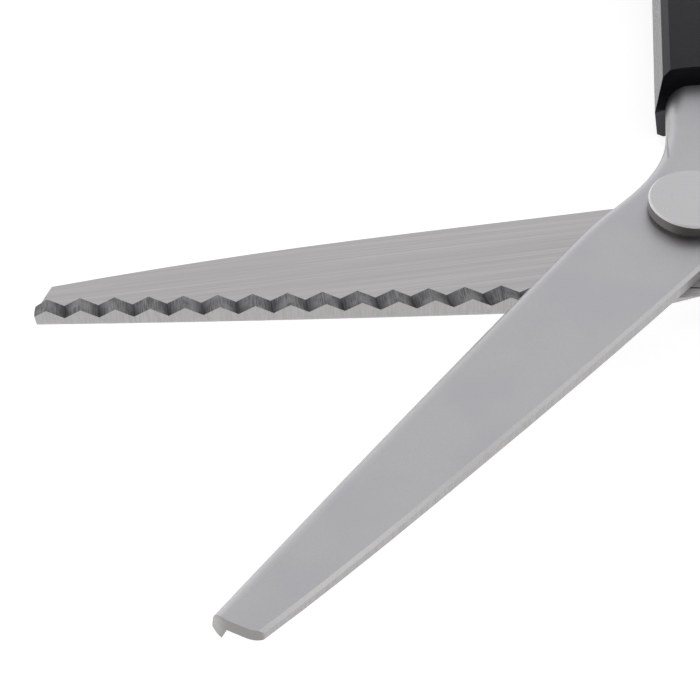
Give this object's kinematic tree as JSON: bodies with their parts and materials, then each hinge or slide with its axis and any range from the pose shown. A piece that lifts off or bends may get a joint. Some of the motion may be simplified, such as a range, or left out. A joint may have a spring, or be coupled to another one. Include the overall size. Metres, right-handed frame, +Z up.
{
  "type": "pinking shears",
  "caption": "Bent-handle pinking shears with toothed L-section blades on a disc-headed pivot screw and black moulded handles with a thumb ring and a finger bow.",
  "frame": {"origin": "on the pivot's axis, at the level the shears rest on (the nut's flat face)", "axes": "+X along the lower blade from the pivot towards its tip, +Z up along the pivot's axis, out of the screw's head"},
  "size_m": [0.2316, 0.1768, 0.013],
  "materials": {
    "blade_steel": "satin ground stainless steel",
    "pivot_steel": "satin turned steel",
    "spring_steel": "spring steel",
    "bronze": "plain bronze",
    "handle_plastic": "black plastic with a fine moulded grain",
    "pin_steel": "drawn steel"
  },
  "bodies": {
    "lower_half": {"lower_blade": "blade_steel", "finger_handle_front": "handle_plastic", "finger_handle_back": "handle_plastic", "finger_tang_pins": "pin_steel", "pivot_screw": "pivot_steel", "pivot_nut": "pivot_steel", "spring_washer": "spring_steel", "friction_washer": "bronze"},
    "upper_half": {"upper_blade": "blade_steel", "thumb_handle_front": "handle_plastic", "thumb_handle_back": "handle_plastic", "thumb_tang_pins": "pin_steel"}
  },
  "joints": [
    {"name": "blade_pivot", "type": "hinge", "parent": "lower_half", "child": "upper_half", "pos_m": [0, 0, 0.0065], "axis": [0, 0, 1], "range_deg": [-38.7, 15]}
  ]
}
